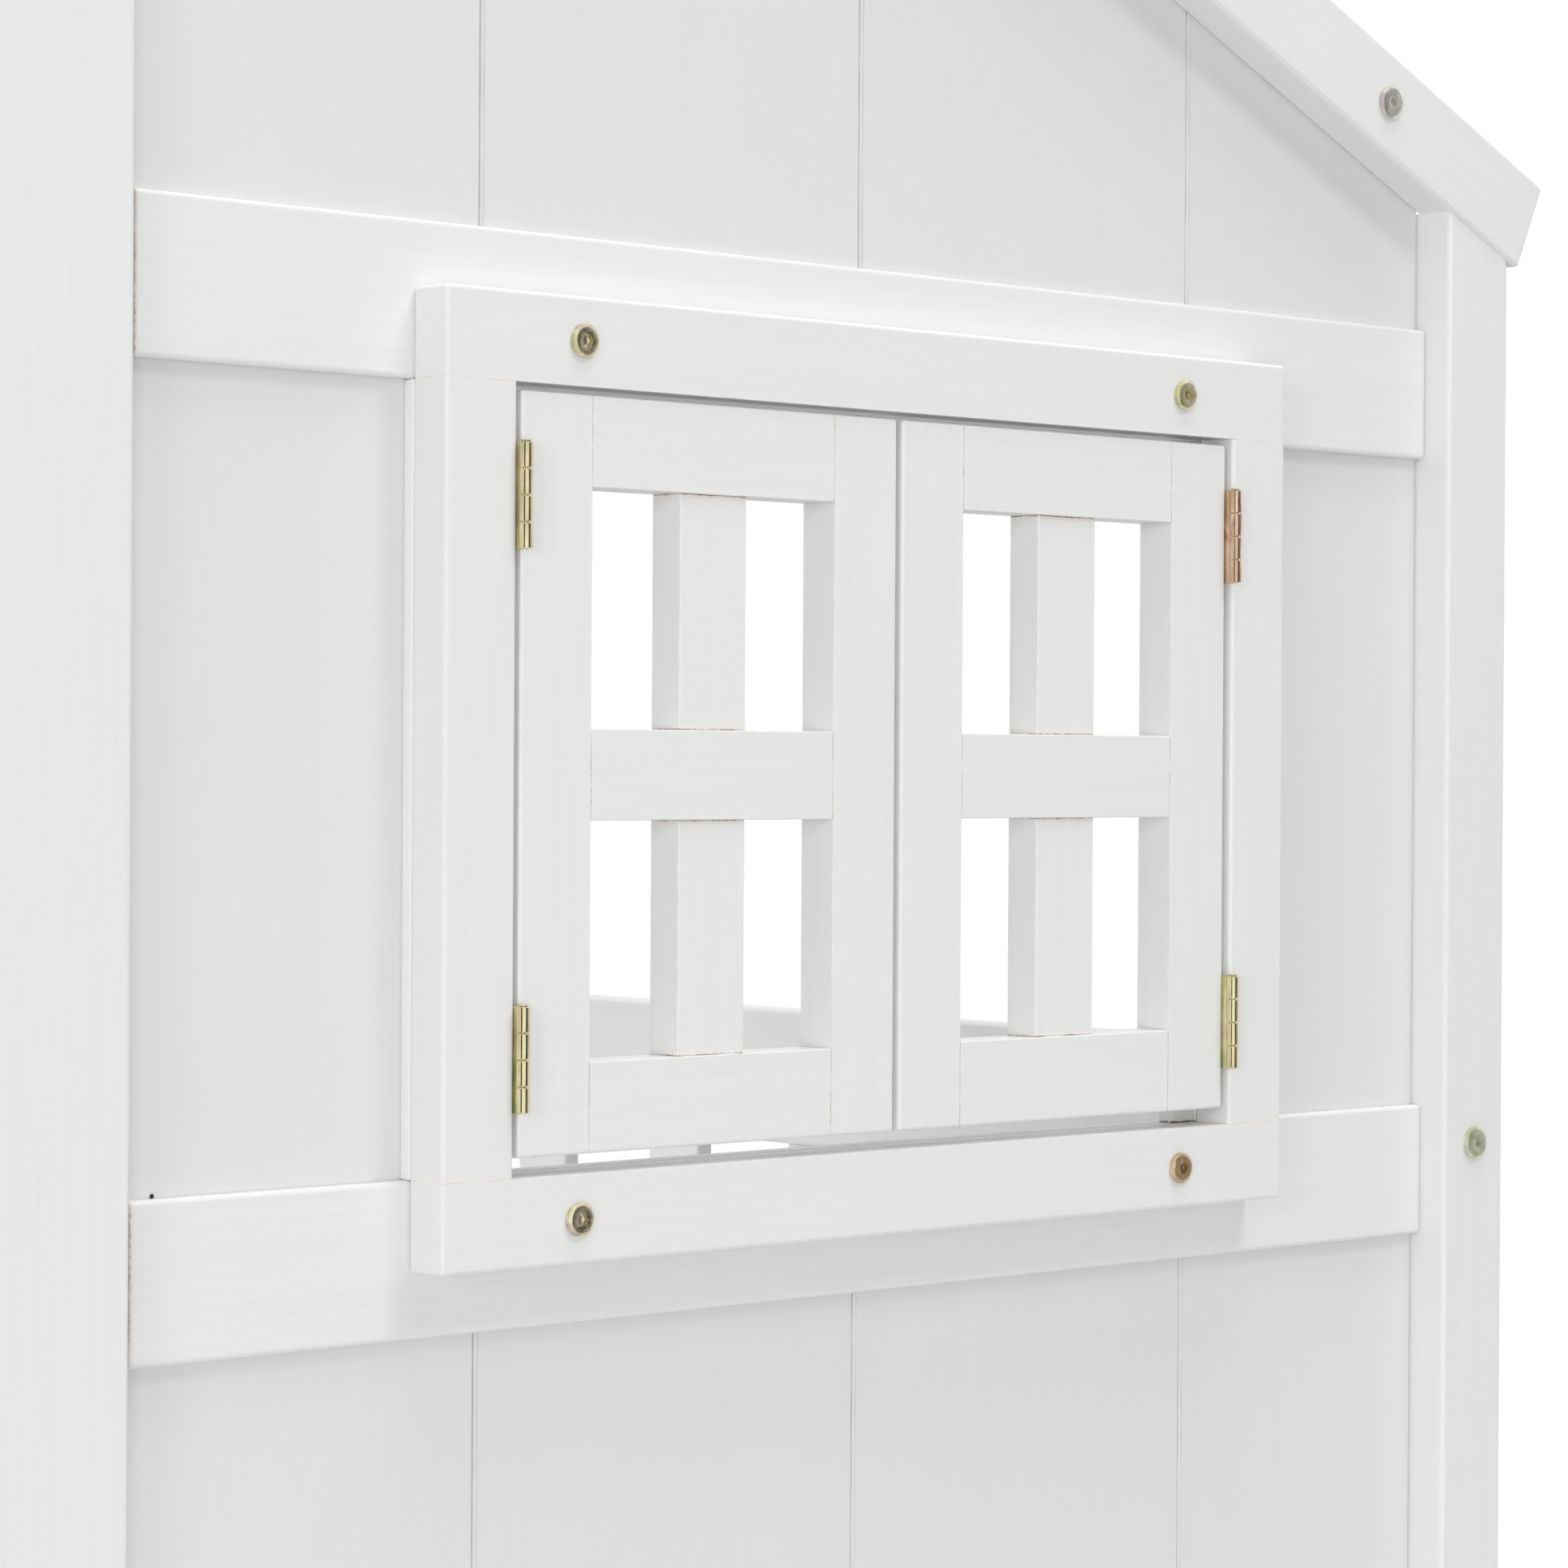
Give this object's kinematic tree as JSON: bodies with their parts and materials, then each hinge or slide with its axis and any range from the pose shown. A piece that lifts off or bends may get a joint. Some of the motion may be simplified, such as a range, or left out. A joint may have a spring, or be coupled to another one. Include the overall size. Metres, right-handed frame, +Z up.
{
  "type": "children's playhouse",
  "caption": "Open wooden playhouse frame with a grooved gable front, door bay, shuttered window that opens outwards, and slatted railings.",
  "frame": {"origin": "on the floor, at the middle of the whole object's box", "axes": "+Z up, -Y the outward face of the front, +X to the right as seen from the front"},
  "size_m": [2.0886, 1.1318, 1.7347],
  "materials": {
    "white_paint": "white painted pine, satin",
    "raw_pine": "thinly painted pine offcut",
    "yellow_zinc": "yellow zinc plated steel"
  },
  "bodies": {
    "house": {"left_front_post": "white_paint", "right_front_post": "white_paint", "rear_corner_posts": "white_paint", "centre_front_post": "white_paint", "centre_rear_post": "white_paint", "panel_centre_board": "white_paint", "panel_upper_left_board": "white_paint", "panel_lower_left_board": "white_paint", "panel_upper_right_board": "white_paint", "panel_lower_right_board": "white_paint", "panel_corner_board": "white_paint", "door_gable_board_1": "white_paint", "door_gable_board_2": "white_paint", "door_gable_board_3": "white_paint", "door_gable_board_4": "white_paint", "upper_rail": "white_paint", "lower_rail": "white_paint", "bottom_rail": "white_paint", "door_header_rail": "white_paint", "window_head": "white_paint", "window_sill": "white_paint", "window_left_jamb": "white_paint", "window_right_jamb": "white_paint", "backing_strips": "white_paint", "shutter_rest_block": "raw_pine", "frame_hinge_leaves": "yellow_zinc", "hinge_pins": "yellow_zinc", "frame_hinge_screws": "yellow_zinc", "front_left_rake": "white_paint", "front_right_rake": "white_paint", "rear_rakes": "white_paint", "purlins": "white_paint", "ridge_beam": "white_paint", "side_railing_boards": "white_paint", "side_railing_slats": "white_paint", "rear_railing_boards": "white_paint", "rear_railing_slats": "white_paint", "frame_bolts": "yellow_zinc", "frame_cap_nuts": "yellow_zinc", "railing_bolts": "yellow_zinc", "roof_bolts": "yellow_zinc", "barrel_nuts": "yellow_zinc"},
    "left_shutter": {"left_hinge_stile": "white_paint", "left_meeting_stile": "white_paint", "left_bottom_crossbar": "white_paint", "left_middle_crossbar": "white_paint", "left_top_crossbar": "white_paint", "left_lower_muntin": "white_paint", "left_upper_muntin": "white_paint", "left_shutter_hinge_leaves": "yellow_zinc", "left_shutter_hinge_screws": "yellow_zinc"},
    "right_shutter": {"right_hinge_stile": "white_paint", "right_meeting_stile": "white_paint", "right_bottom_crossbar": "white_paint", "right_middle_crossbar": "white_paint", "right_top_crossbar": "white_paint", "right_lower_muntin": "white_paint", "right_upper_muntin": "white_paint", "right_shutter_hinge_leaves": "yellow_zinc", "right_shutter_hinge_screws": "yellow_zinc"}
  },
  "joints": [
    {"name": "left_shutter_hinge", "type": "hinge", "parent": "house", "child": "left_shutter", "pos_m": [0.2603, -0.56265, 0.9], "axis": [0, 0, -1], "range_deg": [0, 170]},
    {"name": "right_shutter_hinge", "type": "hinge", "parent": "house", "child": "right_shutter", "pos_m": [0.7627, -0.56265, 0.9], "axis": [0, 0, 1], "range_deg": [0, 170]}
  ]
}
